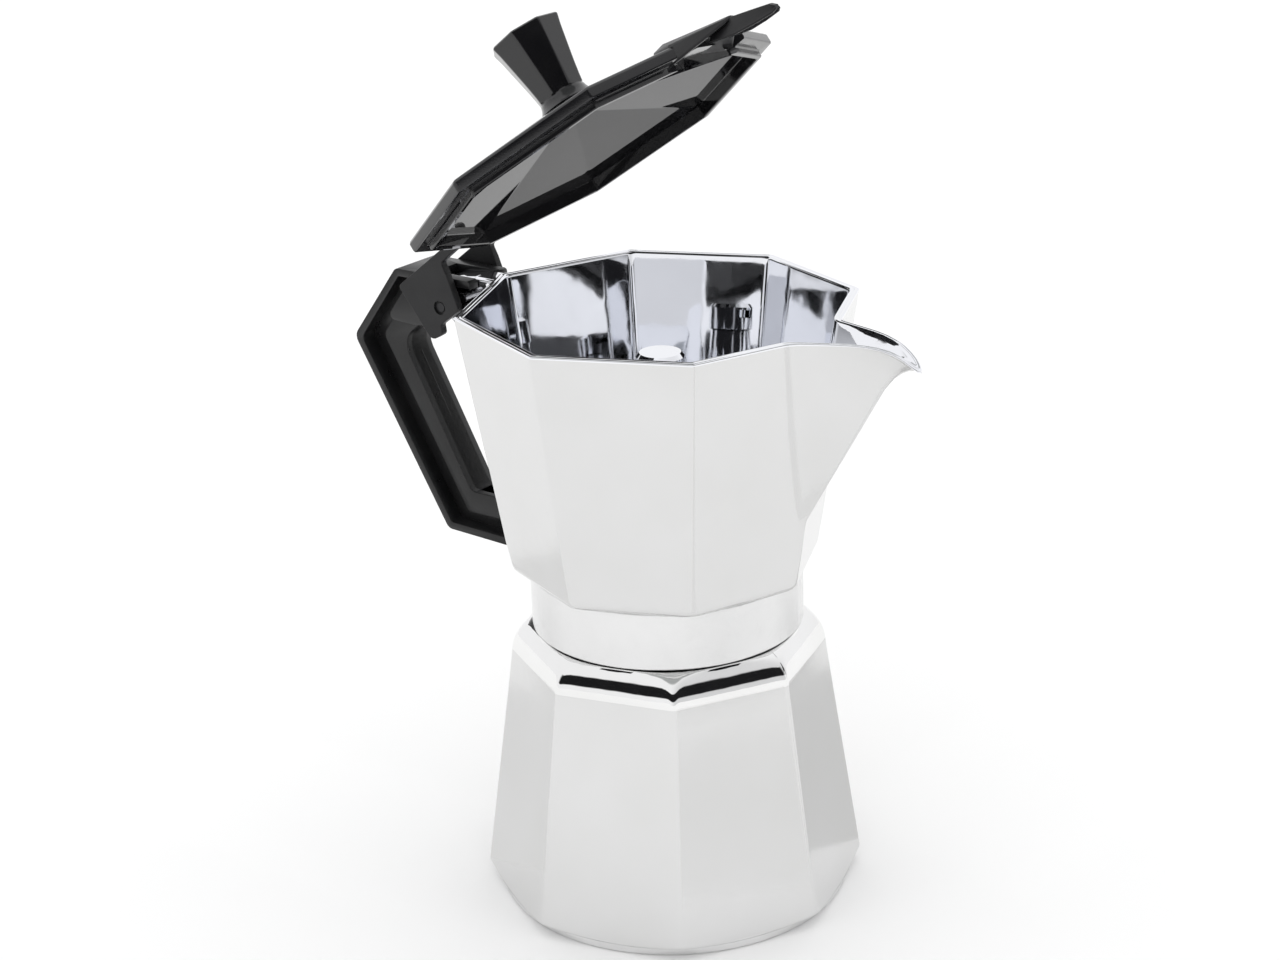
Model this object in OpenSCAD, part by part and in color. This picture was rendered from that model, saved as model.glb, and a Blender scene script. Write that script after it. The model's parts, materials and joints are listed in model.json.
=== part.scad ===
// Stovetop moka pot: octagonal boiler, screw-on collector with spout, hinged lid, side handle.
// Frame: +Z up, origin on the pot's axis at the underside of the foot, spout along +X, handle along -X.

/* [Boiler] */
// Corner radius of the boiler at its widest, just above the foot chamfer
boiler_low_r = 53; // [50:0.5:54]
// Corner radius of the boiler where the shoulder starts
boiler_high_r = 43.3; // [42.8:0.1:43.8]
// Height at which the shoulder starts to round over
shoulder_z = 71; // [69:0.5:71.5]
// Angle of the boiler's first corner, which depends on how far the threads are done up
boiler_turn = 37.6; // [30:0.1:45]
// Wall left at the middle of each boiler flat
boiler_wall = 3; // [2.5:0.1:3.5]
// Radius of the round foot
foot_r = 49.1; // [48:0.1:49.3]

/* [Thread] */
// Rise of the collector for one turn
pitch = 3; // [2.8:0.1:3.2]
// Turns of thread on the boiler's neck
male_turns = 3; // [2:0.25:3]

/* [Collector] */
// Height of the rim above the table
rim_z = 168.3; // [167:0.1:168.3]
// Corner radius of the octagonal rim
rim_r = 54; // [53.5:0.1:54]
// Corner radius near the bottom of the octagon
base_r = 42.9; // [42.5:0.1:43.2]
// Outer radius of the round skirt that screws onto the boiler
skirt_r = 37.35; // [37.2:0.05:37.6]
// Corner-to-corner wall allowance of the octagon
wall = 2.5; // [2.2:0.1:2.8]
// How far the spout's tip stands from the axis
spout_tip_x = 79.8; // [78:0.1:81]
// Half width of the spout where it leaves the rim
spout_half_w = 11.3; // [10.5:0.1:11.8]

/* [Lid] */
// Angle to which the lid stands open
lid_open = 37.6; // [0:0.1:95]
// Corner radius of the lid's outer rim
lid_r = 54.5; // [54.3:0.1:55]
// Height of the lid's rim band
band_h = 3.4; // [3:0.1:3.6]
// Knob height from the dome to its flat top
knob_h = 22.6; // [20:0.1:26]
// Corner radius of the knob's flared top
knob_top_r = 10.6; // [9:0.1:11]

/* [Handle] */
// Width of the handle across the grip
handle_w = 16.4; // [15:0.1:16.8]
// How far the grip's outer corner stands from the axis
handle_reach = 103; // [100:0.5:104]
// Thickness of the rib round the handle's outside
rib_t = 2.1; // [1.8:0.1:2.4]
// Width of the grip's beam inside the rib
grip_w = 10.4; // [9.4:0.2:12]

/* [Hidden] */
$fn = 64;
e = 0.01;                       // overlap that makes two solids of one piece merge
flat = cos(22.5);               // corner radius of an octagon to its half width across flats

// heights along the axis
neck_low_z = 75;                // where the neck leaves the shoulder
neck_top_z = 92.6;              // boiler rim, which carries the funnel
flange_t = 0.6;                 // funnel flange
flange_r = 33.6;
gasket_z = neck_top_z + flange_t;
skirt_z = 79;                   // lower edge of the collector's skirt
seat_z = 96;                    // where the gasket seats inside the collector
plate_t = 1;                    // filter plate
floor_z = 99.6;                 // collector floor at the wall
boss_z = 107;                   // top of the floor's centre boss
column_top_z = 154.7;

// thread radii: ridges of both halves clear the opposite wall by about 0.35
neck_r = 33.8;
neck_in_r = 31.2;
bore_r = 35.35;
ridge = 1.1;                    // height of a ridge
ridge_base = 1.3;
ridge_crest = 0.6;
male_z = 81.5;
female_z = male_z - pitch / 2;
female_turns = male_turns + 0.5;

// hinge
hinge_x = -67;
hinge_z = 159.4;
pin_r = 1.3;
lug_half = 4.4;                 // half thickness of the collector's lug
slot_half = 4.6;                // half width of the handle's fork
ear_in = 9.1;                   // inner and outer faces of the lid's ears
ear_out = 11.4;
rivet_x = -61.2;
rivet_z = 162.2;
rivet_r = 1.5;
peg_z = 100.5;                  // peg on the collector that locates the handle's foot
peg_r = 2.4;

// lid heights when closed
lid_z = rim_z + 0.3;
band_z = lid_z + band_h;
dome_z = 181.6;                 // top of the dome, under the knob
lid_lip_r = 50.4;
lid_in_r = 48.6;
lid_eave_z = 170.4;             // underside of the dome at the lip and at its middle
lid_roof_z = 179.2;
stud_z = lid_roof_z + 0.7;      // underside of the stud's head, moulded into the lid
stud_head_r = 3.6;
stud_head_h = 1.1;
stud_r = 2;

// safety valve
valve_turn = boiler_turn + 67.5;
valve_z = 54;
boss_x = 43.8;                  // outer face of the boiler's boss
boss_r = 7.6;
boss_depth = 8;
valve_hole_r = 4.4;             // threaded hole through the boss

// boiler and funnel
foot_edge = 0.6;                // chamfer under the foot
foot_h = 2.6;
chamfer_run = 6.9;              // how far the cone above the foot spreads, and its rise
chamfer_rise = 3.3;
cavity_z = 3.6;                 // inside floor of the boiler
basket_r = 30.7;
sheet = 0.7;                    // thickness of the pressed sheet
tube_r = 5.6;                   // funnel stem
tube_z = 6.6;                   // open lower end of the stem
strainer_z = 66;

// ---------- helpers ----------

function ring_xy(r, z, n, turn) =
    [for (k = [0:n - 1]) [r * cos(turn + k * 360 / n), r * sin(turn + k * 360 / n), z]];

// Closed solid through rings of points, each ring counter-clockwise as seen from the last one
module loft(rings) {
    n = len(rings[0]);
    m = len(rings);
    pts = [for (ring = rings) each ring];
    sides = [for (i = [0:m - 2], j = [0:n - 1]) let (k = (j + 1) % n)
        each [[i * n + j, (i + 1) * n + j, (i + 1) * n + k], [i * n + j, (i + 1) * n + k, i * n + k]]];
    first = [[for (j = [0:n - 1]) j]];
    last = [[for (j = [n - 1:-1:0]) (m - 1) * n + j]];
    polyhedron(points = pts, faces = concat(sides, first, last), convexity = 6);
}

// Octagonal solid from a list of [corner radius, height]
module octagon_loft(profile, turn = 0) {
    loft([for (p = profile) ring_xy(p[0], p[1], 8, turn)]);
}

function unit(v) = v / norm(v);

// Points of one rounded corner b between a and c
function corner_arc(a, b, c, r, n) =
    let (u = unit(a - b), v = unit(c - b), half = acos(u * v) / 2)
    let (mid = b + unit(u + v) * r / sin(half))
    let (p = b + u * r / tan(half), q = b + v * r / tan(half))
    let (a0 = atan2(p[1] - mid[1], p[0] - mid[0]), a1 = atan2(q[1] - mid[1], q[0] - mid[0]))
    let (sweep = ((a1 - a0 + 540) % 360) - 180)
    [for (i = [0:n]) mid + r * [cos(a0 + sweep * i / n), sin(a0 + sweep * i / n)]];

// Polygon points with corner radii: each entry is [x, y, radius]
function rounded(pts, n = 5) =
    let (m = len(pts))
    [for (i = [0:m - 1])
        let (p = pts[i], a = pts[(i + m - 1) % m], c = pts[(i + 1) % m])
        each p[2] == 0 ? [[p[0], p[1]]]
            : corner_arc([a[0], a[1]], [p[0], p[1]], [c[0], c[1]], p[2], n)];

// Side-view outline in X and Z, extruded along Y from y0 to y1
module side_plate(pts, y0, y1) {
    translate([0, y1, 0]) rotate([90, 0, 0]) linear_extrude(y1 - y0) polygon(pts);
}

// Rod along Y through [x, z]
module cross_rod(x, z, r, y0, y1) {
    translate([x, y1, z]) rotate([90, 0, 0]) cylinder(r = r, h = y1 - y0);
}

// Helical ridge. r_root is buried in the wall and r_crest stands out of it, inwards or outwards
module helix_ridge(r_root, r_crest, z0, turns) {
    steps = round(turns * 36);
    b = ridge_base / 2;
    c = ridge_crest / 2;
    section = r_crest > r_root
        ? [[r_root, -b], [r_root, b], [r_crest, c], [r_crest, -c]]
        : [[r_crest, -c], [r_crest, c], [r_root, b], [r_root, -b]];
    loft([for (i = [0:steps]) let (a = i * 360 * turns / steps)
        [for (s = section) [s[0] * cos(a), s[0] * sin(a), z0 + pitch * a / 360 + s[1]]]]);
}

// Concentric rings of holes: one at the centre and 6k on ring k
module hole_rings(count, spacing, r, z, h) {
    translate([0, 0, z]) cylinder(r = r, h = h, $fn = 16);
    for (k = [1:count], j = [0:6 * k - 1])
        rotate(j * 60 / k) translate([k * spacing, 0, z]) cylinder(r = r, h = h, $fn = 16);
}

// ---------- boiler group ----------

boiler_slope = (boiler_low_r - boiler_high_r) / (shoulder_z - 5);
function boiler_r(z) = boiler_low_r - boiler_slope * (z - 5);

module boiler() {
    color("gainsboro") difference() {
        union() {
            intersection() {
                octagon_loft([[boiler_r(0), 0], [boiler_r(shoulder_z), shoulder_z],
                    [boiler_high_r - 0.5, shoulder_z + 2.4], [boiler_high_r - 1.4, shoulder_z + 4.5],
                    [boiler_high_r - 2.8, shoulder_z + 6.2], [boiler_high_r - 4.4, 78.4],
                    [boiler_high_r - 5, 78.7]], boiler_turn);
                rotate_extrude() polygon([[0, 0], [foot_r - foot_edge, 0], [foot_r, foot_edge],
                    [foot_r, foot_h], [foot_r + chamfer_run, foot_h + chamfer_rise],
                    [foot_r + chamfer_run, neck_top_z], [0, neck_top_z]]);
            }
            translate([0, 0, neck_low_z]) cylinder(r = neck_r, h = neck_top_z - neck_low_z);
            helix_ridge(neck_r - 0.4, neck_r + ridge, male_z, male_turns);
            on_valve() translate([0, 0, -boss_depth]) cylinder(r = boss_r, h = boss_depth);
        }
        rotate_extrude() polygon([[0, cavity_z], [40.5, cavity_z], [44.2, cavity_z + 1.4],
            [boiler_r(8) * flat - boiler_wall, 8], [boiler_r(66) * flat - boiler_wall, 66],
            [neck_in_r, 76], [neck_in_r, neck_top_z + 1], [0, neck_top_z + 1]]);
        on_valve() translate([0, 0, -2 * boss_depth]) cylinder(r = valve_hole_r, h = 3 * boss_depth);
    }
}

module funnel_basket() {
    inner = basket_r - sheet;
    floor_low = strainer_z - 8;
    color("silver") rotate_extrude() polygon([[flange_r, neck_top_z], [flange_r, gasket_z],
        [inner, gasket_z], [inner, strainer_z], [inner - 1.8, strainer_z], [tube_r, floor_low],
        [tube_r, floor_low - 5], [tube_r + sheet, floor_low - 5], [tube_r + sheet, floor_low - 0.6],
        [basket_r - 2.2, strainer_z - 0.8], [basket_r, strainer_z - 0.8], [basket_r, neck_top_z]]);
}

module funnel_stem() {
    color("silver") difference() {
        translate([0, 0, tube_z]) cylinder(r = tube_r, h = strainer_z - 8.4 - tube_z);
        translate([0, 0, tube_z - 1]) cylinder(r = tube_r - sheet, h = strainer_z);
        for (a = [0, 90]) rotate(a) translate([-8, -1.5, tube_z - 1]) cube([16, 3, 2.5]);
    }
}

module funnel_strainer() {
    color("silver") difference() {
        translate([0, 0, strainer_z]) cylinder(r = basket_r - 1, h = sheet);
        hole_rings(4, 6.2, 0.9, strainer_z - 1, 3);
    }
}

// ---------- safety valve, built along +X from the boss face ----------

module on_valve() {
    rotate(valve_turn) translate([boss_x, 0, valve_z]) rotate([0, 90, 0]) children();
}

valve_flange = 0.8;             // washer thickness under the hexagon
valve_nose = 9;
valve_bore = 3;
stem_r = 1.25;

module valve_body() {
    color("goldenrod") on_valve() difference() {
        union() {
            translate([0, 0, -7]) cylinder(r = valve_hole_r, h = 9);
            translate([0, 0, valve_flange]) cylinder(r = 6.9, h = 3.4, $fn = 6);
            translate([0, 0, 4]) cylinder(r = 4.9, h = valve_nose - 5);
            rotate_extrude() polygon([[0, valve_nose - 1.1], [4.9, valve_nose - 1.1],
                [4, valve_nose], [0, valve_nose]]);
        }
        translate([0, 0, -8]) cylinder(r = valve_bore, h = 15.6);
        cylinder(r = stem_r + 0.1, h = 20);
    }
}

module valve_washer() {
    color("firebrick") on_valve() difference() {
        cylinder(r = 6.8, h = valve_flange);
        translate([0, 0, -1]) cylinder(r = valve_hole_r, h = 3);
    }
}

module valve_seat() {
    color("goldenrod") on_valve() difference() {
        translate([0, 0, -7]) cylinder(r = valve_bore, h = 1.8);
        translate([0, 0, -8]) cylinder(r = 1.2, h = 4);
    }
}

module valve_piston() {
    color("silver") on_valve() {
        translate([0, 0, -5.2]) cylinder(r = 2.6, h = 1.1);
        translate([0, 0, -5]) cylinder(r = stem_r, h = 14.9);
        rotate_extrude() polygon([[0, 9.8], [stem_r, 9.8], [0.8, 10.4], [0, 10.4]]);
    }
}

module valve_spring() {
    turns = 6;
    coil_r = 2.2;
    wire_r = 0.35;
    first = -2.3;
    last = 7.2;
    steps = turns * 12;
    color("silver") on_valve() loft([for (i = [0:steps]) let (a = i * 360 * turns / steps)
        [for (j = [0:5]) let (t = -j * 60, r = coil_r + wire_r * cos(t))
            [r * cos(a), r * sin(a), first + (last - first) * i / steps + wire_r * sin(t)]]]);
}

// ---------- seal ----------

module gasket() {
    color("whitesmoke") translate([0, 0, gasket_z]) difference() {
        cylinder(r = 35.1, h = seat_z - gasket_z);
        translate([0, 0, -1]) cylinder(r = 27.5, h = 5);
    }
}

module filter_plate() {
    color("silver") difference() {
        translate([0, 0, seat_z]) cylinder(r = 31, h = plate_t);
        hole_rings(5, 4.6, 0.8, seat_z - 1, 3);
    }
}

// ---------- collector ----------

spout_run = spout_tip_x - 50;
ridge_foot = [45, 115.6];       // where the spout's lower edge leaves the octagon's corner
ridge_knee = [68, 153.3];       // where the beak curls outwards
beak_z = 162.4;
function lip_half(x) = let (t = max(0, (x - 50) / spout_run)) spout_half_w * (1 - 0.86 * t);
function lip_z(x) = let (t = max(0, (x - 50) / spout_run)) rim_z + 1.3 * t - 7.2 * pow(t, 5);
function keel_z(x) = x < ridge_knee[0]
    ? ridge_foot[1] + (x - ridge_foot[0]) * (ridge_knee[1] - ridge_foot[1]) / (ridge_knee[0] - ridge_foot[0])
    : ridge_knee[1] + (beak_z - 0.8 - ridge_knee[1])
        * (1 - pow(max(0, spout_tip_x - x) / (spout_tip_x - ridge_knee[0]), 2.6));
spout_x = [for (x = [47, 50, 54, 58, 62, 66, 68, 69.5, 71, 73, 75, 77, 78.6, spout_tip_x]) x];

// One cross-section of the spout, drawn in by t and open upwards by up
function spout_section(x, t, up) =
    let (h = max(0.3, lip_half(x) - t), lo = keel_z(x) + 1.9 * t, hi = lip_z(x))
    let (k = min(lo, hi - 0.5))
    [[x, 0, k], [x, h * 0.5, (k + hi) / 2], [x, h, hi], [x, h, hi + up],
     [x, -h, hi + up], [x, -h, hi], [x, -h * 0.5, (k + hi) / 2]];

module spout_outside() {
    first = [for (p = spout_section(50, 0, 0.01)) [44, p[1], p[2]]];
    loft(concat([first], [for (x = spout_x) if (x > 47) spout_section(x, 0, 0.01)]));
}

module spout_channel() {
    first = [for (p = spout_section(47, 1.5, 9)) [40, p[1], p[2]]];
    loft(concat([first], [for (x = spout_x) if (x < spout_tip_x) spout_section(x, 1.5, 9)],
        [spout_section(spout_tip_x + 1, 1.5, 9)]));
}

// Lug that carries the lid's hinge and the handle's fork
lug = rounded([[-46, rim_z - 0.6, 0], [-60, rim_z - 0.6, 3], [-72.4, 165.6, 3.5], [-73.2, 157, 4.5],
    [-66, 150.6, 4.5], [-46, 140, 0]]);

module collector() {
    color("gainsboro") difference() {
        union() {
            octagon_loft([[39.4, 94.9], [41.2, 95.6], [42, 96.3], [42.4, 97.4], [base_r, 100.5],
                [rim_r, rim_z - 0.5], [rim_r - 0.5, rim_z]]);
            translate([0, 0, skirt_z]) cylinder(r = skirt_r, h = 20);
            spout_outside();
            side_plate(lug, -lug_half, lug_half);
            translate([-41.5, 0, peg_z]) rotate([0, -90, 0]) cylinder(r = peg_r, h = 7);
        }
        difference() {
            octagon_loft([[base_r - wall - 0.15, floor_z], [rim_r - wall, rim_z - 0.5],
                [rim_r - wall + 0.6, rim_z + 0.1], [rim_r - wall + 0.6, rim_z + 2]]);
            rotate_extrude() polygon([[0, floor_z - 1], [39, floor_z - 1], [39, floor_z + e], [31, 100.4],
                [10, 105.4], [9.2, boss_z], [0, boss_z]]);
        }
        spout_channel();
        rotate_extrude() polygon([[0, skirt_z - 1], [bore_r, skirt_z - 1], [bore_r, seat_z], [31.4, seat_z],
            [31.4, seat_z + plate_t + 0.2], [28.5, seat_z + plate_t + 0.2], [7, 102.4], [7, boss_z + 1],
            [0, boss_z + 1]]);
        cross_rod(hinge_x, hinge_z, pin_r, -20, 20);
        cross_rod(rivet_x, rivet_z, rivet_r, -20, 20);
    }
    color("gainsboro") difference() {
        helix_ridge(bore_r + 0.4, bore_r - ridge - 0.1, female_z, female_turns);
        translate([0, 0, 70]) difference() {
            cylinder(r = 40, h = 30);
            translate([0, 0, -1]) cylinder(r = bore_r + 0.05, h = 32);
        }
    }
}

module column() {
    color("silver") rotate_extrude() polygon([[4.2, 102.4], [7, 102.4], [7, boss_z], [8.2, boss_z],
        [8.2, 109], [7.5, 109.6], [6, 146.5], [5.4, 146.5], [5.4, 150], [3.7, 150], [4.2, 110]]);
}

module column_cap() {
    color("silver") difference() {
        rotate_extrude() polygon([[5.4, 146.5], [6.5, 147.1], [6.5, 153.6], [5.6, column_top_z],
            [0, column_top_z], [0, 153.4], [4.3, 153.4], [4.3, 150], [5.4, 150]]);
        for (a = [60, 240]) rotate(a) translate([0, -2.2, 150.5]) cube([10, 4.4, 2.4]);
    }
}

// ---------- handle ----------

handle_half = handle_w / 2;
wall_slope = (rim_r - base_r) / (rim_z - 101);
function pot_x(z) = -(base_r + (z - 100.5) * wall_slope);

// side-view outlines in X and Z with corner radii: the rib's outside, the web it stands round, and
// the grip's beam. All three share the finger gap and the foot that lies on the collector's wall.
arm_x = -58.4;                  // end of the arm beside the collector's lug
arm_top = 167.3;
foot = [[pot_x(99) - 0.3, 99, 0], [pot_x(103.6) - 0.3, 103.6, 0]];
gap = [[-64.8, 103.6, 3], [-87.4, 145.4, 6], [-79.4, 151.6, 4], [-72.6, 152.4, 2], [-65, 157, 2],
    [arm_x, 158.2, 0]];
outline = concat([[arm_x, arm_top, 1], [-85.6, arm_top, 2], [-handle_reach, 145, 3], [-71.6, 91.8, 2.5],
    [-44.2, 91, 0]], foot, gap);
inside = concat([[arm_x, arm_top - rib_t, 0.3], [-84.6, arm_top - rib_t, 1],
    [-handle_reach + rib_t * 1.2, 144.8, 2.5], [-70.4, 91.8 + rib_t, 1.5], [-44, 91.1 + rib_t, 0]],
    foot, gap);
beam = concat([[arm_x, 161, 0.3], [-83.2, 161, 2], [-94.6, 145.8, 3], [-66.2, 96.9, 1.5],
    [pot_x(96.9) - 0.4, 96.9, 0]], foot, gap);
block = [[arm_x, 161], [-83.2, 161], [-90.5, 151.6], [-79.4, 151.6], [-72.6, 152.4], [-65, 157],
    [arm_x, 158.2]];            // full-width head of the grip, which carries the fork

module handle() {
    web_half = 3.2;
    color("#2b2b2d") difference() {
        union() {
            difference() {
                side_plate(rounded(outline), -handle_half, handle_half);
                side_plate(rounded(inside), -handle_half - 1, -web_half);
                side_plate(rounded(inside), web_half, handle_half + 1);
            }
            side_plate(rounded(beam), -grip_w / 2, grip_w / 2);
            side_plate(block, -handle_half, handle_half);
        }
        translate([-73.8, -slot_half, 145]) cube([30, 2 * slot_half, 30]);
        cross_rod(hinge_x, hinge_z, pin_r, -20, 20);
        cross_rod(rivet_x, rivet_z, rivet_r, -20, 20);
        translate([-40, 0, peg_z]) rotate([0, -90, 0]) cylinder(r = peg_r + 0.05, h = 9);
    }
}

module handle_rivet() {
    color("silver") cross_rod(rivet_x, rivet_z, rivet_r, -handle_half, handle_half);
}

module hinge_pin() {
    color("dimgray") cross_rod(hinge_x, hinge_z, pin_r, -ear_out + 0.5, ear_out - 0.5);
}

// ---------- lid, drawn closed and turned about the hinge ----------

module lid_pose() {
    translate([hinge_x, 0, hinge_z]) rotate([0, -lid_open, 0]) translate([-hinge_x, 0, -hinge_z])
        children();
}

ear = rounded([[-47, lid_z + 0.4, 0], [-57.8, lid_z + 0.2, 1], [-58.4, 165.4, 0.5], [-61.4, 155.2, 1.5],
    [-70, 155.4, 1], [-71.2, 153, 1.2], [-76, 153.6, 2], [-76.4, band_z - 0.1, 1.2], [-47, band_z - 0.1, 0]]);

// Gabled cover over the spout, and the tab that hangs into the spout's channel:
// [x, half width, eave height, ridge height]
gable = [[35.8, 7.5, 173, 177.5], [38.5, 11, 171, 176.9], [44, 12.4, 169.2, 175.5],
    [58, 2, 170.6, 172.1]];
tab = [[52, 4.4, 168.6, 172.6], [59, 4, 166.5, 171.3], [71.4, 1.1, 165.3, 166.5]];
function gable_ring(g, t, drop) =
    [[g[0], g[1] - t, g[2] - drop], [g[0], g[1] - t, g[2] + 0.4], [g[0], 0.8, g[3] - t],
     [g[0], -0.8, g[3] - t], [g[0], t - g[1], g[2] + 0.4], [g[0], t - g[1], g[2] - drop]];

module gable_solid(rows) {
    loft([for (g = rows) gable_ring(g, 0, 0)]);
}

// Hollow of a gable, open below
module gable_hollow(rows, t) {
    loft([for (g = rows) gable_ring(g, t, 8)]);
}

module lid() {
    color("#1d1d1f") lid_pose() difference() {
        union() {
            difference() {
                octagon_loft([[lid_r, lid_z], [lid_r, band_z - 0.6], [lid_r - 0.8, band_z],
                    [8.5, dome_z - 0.2], [7.6, dome_z]]);
                octagon_loft([[lid_in_r, lid_z - 1], [lid_in_r, lid_eave_z], [4, lid_roof_z]]);
            }
            difference() {
                octagon_loft([[lid_lip_r - 0.3, lid_z - 1.6], [lid_lip_r, lid_z - 1.2],
                    [lid_lip_r, lid_z + 1]]);
                octagon_loft([[lid_in_r, lid_z - 2], [lid_in_r, lid_z + 2]]);
                translate([30, -11.6, lid_z - 3]) cube([40, 23.2, 3]);
            }
            gable_solid(gable);
            gable_solid(tab);
            for (s = [-1, 1]) side_plate(ear, s > 0 ? ear_in : -ear_out, s > 0 ? ear_out : -ear_in);
        }
        gable_hollow([[38.5, 10, 171, 176.7], gable[2], [55, 4.2, 170.4, 172.5]], 1.3);
        gable_hollow([[50, 4.4, 168.6, 172.7], tab[1], [67, 2.1, 165.7, 168.2]], 1.1);
        translate([0, 0, stud_z]) cylinder(r = stud_head_r, h = stud_head_h);
        translate([0, 0, stud_z]) cylinder(r = stud_r, h = 20);
        cross_rod(hinge_x, hinge_z, pin_r + 0.05, -20, 20);
        for (s = [-1, 1]) cross_rod(hinge_x, hinge_z, 2, s * ear_out - 0.7, s * ear_out + 0.7);
    }
}

module knob() {
    collar_z = dome_z + 3.3;
    top_z = dome_z + knob_h;
    color("#161618") lid_pose() difference() {
        union() {
            rotate_extrude() polygon([[0, dome_z], [8, dome_z], [7.2, dome_z + 1], [6.8, dome_z + 2.2],
                [6.6, collar_z], [0, collar_z]]);
            octagon_loft([[6.8, collar_z - e], [7.5, collar_z + 5], [knob_top_r, top_z - 0.8],
                [knob_top_r - 0.8, top_z]], 22.5);
        }
        translate([0, 0, dome_z - 1]) cylinder(r = 4.6, h = 1.8);
        translate([0, 0, dome_z - 1]) cylinder(r = 3.2, h = 11);
    }
}

module knob_insert() {
    color("goldenrod") lid_pose() translate([0, 0, dome_z + 0.8]) difference() {
        cylinder(r = 3.2, h = 9.2);
        translate([0, 0, -1]) cylinder(r = stud_r, h = 11);
    }
}

module knob_stud() {
    color("silver") lid_pose() translate([0, 0, stud_z]) {
        cylinder(r = stud_head_r, h = stud_head_h);
        cylinder(r = stud_r, h = dome_z + 9 - stud_z);
    }
}

module knob_washer() {
    color("silver") lid_pose() translate([0, 0, dome_z]) difference() {
        cylinder(r = 4.6, h = 0.8);
        translate([0, 0, -1]) cylinder(r = stud_r, h = 3);
    }
}

boiler();
funnel_basket();
funnel_stem();
funnel_strainer();
valve_body();
valve_washer();
valve_seat();
valve_spring();
valve_piston();
gasket();
filter_plate();
collector();
column();
column_cap();
handle();
handle_rivet();
hinge_pin();
lid();
knob();
knob_insert();
knob_stud();
knob_washer();
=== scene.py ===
"""Looks of the octagonal stovetop moka pot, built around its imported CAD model.

Lengths below are millimetres in the CAD frame: +Z up, origin on the axis under the foot, spout along +X.
Meshes are made in millimetres and scaled to metres when they become objects.
"""

import json
import math

import bmesh
import bpy
import numpy as np
from mathutils import Matrix, Vector


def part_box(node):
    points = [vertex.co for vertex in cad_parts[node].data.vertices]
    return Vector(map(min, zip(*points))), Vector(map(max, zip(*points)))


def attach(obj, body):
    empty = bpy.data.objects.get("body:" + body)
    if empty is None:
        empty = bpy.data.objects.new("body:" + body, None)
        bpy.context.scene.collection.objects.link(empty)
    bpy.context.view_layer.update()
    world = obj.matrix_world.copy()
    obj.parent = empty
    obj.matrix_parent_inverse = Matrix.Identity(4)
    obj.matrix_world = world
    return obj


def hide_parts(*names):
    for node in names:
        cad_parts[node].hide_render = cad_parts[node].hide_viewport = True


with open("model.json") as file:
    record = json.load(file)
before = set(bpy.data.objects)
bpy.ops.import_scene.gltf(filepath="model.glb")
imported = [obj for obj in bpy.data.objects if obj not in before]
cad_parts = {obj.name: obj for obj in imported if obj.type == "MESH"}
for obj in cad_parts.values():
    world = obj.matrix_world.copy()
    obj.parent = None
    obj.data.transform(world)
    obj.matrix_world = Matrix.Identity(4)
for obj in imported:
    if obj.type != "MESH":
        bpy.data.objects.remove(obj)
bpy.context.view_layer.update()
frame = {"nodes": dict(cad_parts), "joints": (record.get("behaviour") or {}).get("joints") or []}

# one millimetre in metres
MM = 0.001
JOINTS = {j["name"]: j for j in frame["joints"]}


def cad_box(node):
    """Lowest and highest corner of a CAD node, in millimetres."""
    low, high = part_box(node)
    return low / MM, high / MM


# ---------------------------------------------------------------- sizes from the frame

SKIRT_Z = cad_box("collector")[0].z
SPOUT_TIP = cad_box("collector")[1].x
RIM_R = cad_box("collector")[1].y
NECK_Z = cad_box("boiler")[1].z
SEAT_Z = cad_box("gasket")[1].z
LID_R = cad_box("lid")[1].y
HANDLE_LOW, HANDLE_HIGH = cad_box("handle")
HANDLE_HALF = HANDLE_HIGH.y
# the spout's lip rises above the rim, so the collector's box does not give the rim's height
RIM_Z = 168.3

HINGE = Vector(JOINTS["lid_hinge"]["pos_m"]) / MM
LID_OPEN = math.radians(-JOINTS["lid_hinge"]["range_deg"][0])
VALVE_AXIS = JOINTS["valve_lift"]["axis"]
VALVE_TURN = math.degrees(math.atan2(VALVE_AXIS[1], VALVE_AXIS[0]))
BOILER_TURN = VALVE_TURN - 67.5
SEAM_ANGLE = (BOILER_TURN + 315) % 360

# ---------------------------------------------------------------- mesh helpers


def new_object(name, verts, faces, smooth=True):
    """Mesh object from points in millimetres."""
    mesh = bpy.data.meshes.new(name)
    mesh.from_pydata([tuple(v) for v in np.asarray(verts, float) * MM], [], faces)
    mesh.validate()
    bm = bmesh.new()
    bm.from_mesh(mesh)
    bmesh.ops.recalc_face_normals(bm, faces=bm.faces)
    bm.to_mesh(mesh)
    bm.free()
    for polygon in mesh.polygons:
        polygon.use_smooth = smooth
    obj = bpy.data.objects.new(name, mesh)
    bpy.context.scene.collection.objects.link(obj)
    return obj


def loft(name, rings, first="open", last="open", ring_loop=False):
    """Surface through rings of equal length. An end is open, a fan to its middle, or a flat cap."""
    n = len(rings[0])
    verts = [p for ring in rings for p in ring]
    faces = []
    count = len(rings) if ring_loop else len(rings) - 1
    for i in range(count):
        a = i * n
        b = ((i + 1) % len(rings)) * n
        for j in range(n):
            k = (j + 1) % n
            faces.append((a + j, a + k, b + k, b + j))
    for end, kind in ((0, first), (len(rings) - 1, last)):
        ring = [end * n + j for j in range(n)]
        if kind == "cap":
            faces.append(ring)
        elif kind == "fan":
            verts.append(np.mean([verts[j] for j in ring], axis=0))
            faces += [(ring[j], ring[(j + 1) % n], len(verts) - 1) for j in range(n)]
    return new_object(name, verts, faces)


def join(name, parts):
    """Joins mesh objects that share one material list into the first one."""
    with bpy.context.temp_override(
        active_object=parts[0], selected_editable_objects=parts, selected_objects=parts
    ):
        bpy.ops.object.join()
    parts[0].name = name
    return parts[0]


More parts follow.
